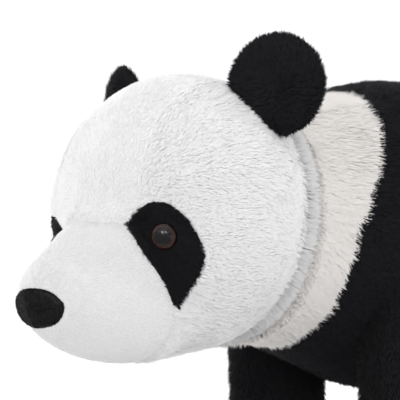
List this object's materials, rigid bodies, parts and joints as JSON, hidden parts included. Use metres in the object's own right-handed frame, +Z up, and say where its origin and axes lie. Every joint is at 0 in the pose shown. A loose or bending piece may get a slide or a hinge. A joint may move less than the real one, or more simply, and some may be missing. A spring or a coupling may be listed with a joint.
{
  "type": "plush panda",
  "caption": "Large stuffed plush panda standing on four legs over an internal steel frame, with a soft head that turns and nods, folding ears and a stub tail.",
  "frame": {"origin": "centre of the bounding box on the ground plane, under the belly", "axes": "+Z up, -Y the way the panda faces, +X its left side"},
  "size_m": [0.3102, 0.7851, 0.5],
  "materials": {
    "white_long_pile": "soft long-pile plush",
    "white_short_pile": "smooth short-pile plush",
    "offwhite_long_pile": "soft long-pile plush",
    "black_pile": "black plush",
    "sole_cloth": "short black cloth",
    "nose_velour": "smooth black velour",
    "eye_plastic": "polished dark brown",
    "eye_dome": "clear polished dome",
    "washer_plastic": "moulded",
    "plate_plastic": "moulded",
    "filling": "loose polyester fibre",
    "foam": "soft foam",
    "steel": "bare welded tube"
  },
  "bodies": {
    "torso": {"neck_cover": "offwhite_long_pile", "shoulder_cover": "black_pile", "midsection_cover": "offwhite_long_pile", "rump_cover": "black_pile", "neck_filling": "filling", "torso_filling": "filling", "cross_tube_front": "steel", "cross_tube_hind": "steel", "side_rail_left": "steel", "side_rail_right": "steel", "spine_tube": "steel", "neck_plate": "steel", "leg_cover_front_left": "black_pile", "leg_filling_front_left": "filling", "foot_plate_front_left": "plate_plastic", "sole_front_left": "sole_cloth", "leg_tube_front_left": "steel", "leg_cover_front_right": "black_pile", "leg_filling_front_right": "filling", "foot_plate_front_right": "plate_plastic", "sole_front_right": "sole_cloth", "leg_tube_front_right": "steel", "leg_cover_hind_left": "black_pile", "leg_filling_hind_left": "filling", "foot_plate_hind_left": "plate_plastic", "sole_hind_left": "sole_cloth", "leg_tube_hind_left": "steel", "leg_cover_hind_right": "black_pile", "leg_filling_hind_right": "filling", "foot_plate_hind_right": "plate_plastic", "sole_hind_right": "sole_cloth", "leg_tube_hind_right": "steel"},
    "neck_pad": {"neck_joint_pad": "foam"},
    "head": {"muzzle_panel": "white_short_pile", "crown_panel": "white_long_pile", "head_back_panel": "white_long_pile", "cheek_left": "white_long_pile", "cheek_right": "white_long_pile", "eye_patch_left": "black_pile", "eye_patch_right": "black_pile", "nose_cover": "nose_velour", "head_filling": "filling", "eye_body_left": "eye_plastic", "eye_lens_left": "eye_dome", "eye_washer_left": "washer_plastic", "eye_body_right": "eye_plastic", "eye_lens_right": "eye_dome", "eye_washer_right": "washer_plastic"},
    "ear_left": {"ear_front_left": "black_pile", "ear_back_left": "black_pile", "ear_filling_left": "filling"},
    "ear_right": {"ear_front_right": "black_pile", "ear_back_right": "black_pile", "ear_filling_right": "filling"},
    "tail": {"tail_cover": "offwhite_long_pile", "tail_filling": "filling"}
  },
  "joints": [
    {"name": "head_turn", "type": "hinge", "parent": "torso", "child": "neck_pad", "pos_m": [0, -0.24452, 0.342], "axis": [0, 0, 1], "range_deg": [-10, 10], "stiffness_Nm_per_rad": 12},
    {"name": "head_nod", "type": "hinge", "parent": "neck_pad", "child": "head", "pos_m": [0, -0.24452, 0.342], "axis": [1, 0, 0], "range_deg": [-6, 8], "stiffness_Nm_per_rad": 14},
    {"name": "ear_left_fold", "type": "hinge", "parent": "head", "child": "ear_left", "pos_m": [0.09567, -0.20769, 0.43197], "axis": [0.6351, 0.3377, -0.6947], "range_deg": [-10, 10], "stiffness_Nm_per_rad": 1},
    {"name": "ear_right_fold", "type": "hinge", "parent": "head", "child": "ear_right", "pos_m": [-0.09567, -0.20769, 0.43197], "axis": [0.6351, -0.3377, 0.6947], "range_deg": [-10, 10], "stiffness_Nm_per_rad": 1},
    {"name": "tail_lift", "type": "hinge", "parent": "torso", "child": "tail", "pos_m": [0, 0.3156, 0.402], "axis": [1, 0, 0], "range_deg": [-20, 20], "stiffness_Nm_per_rad": 1}
  ]
}
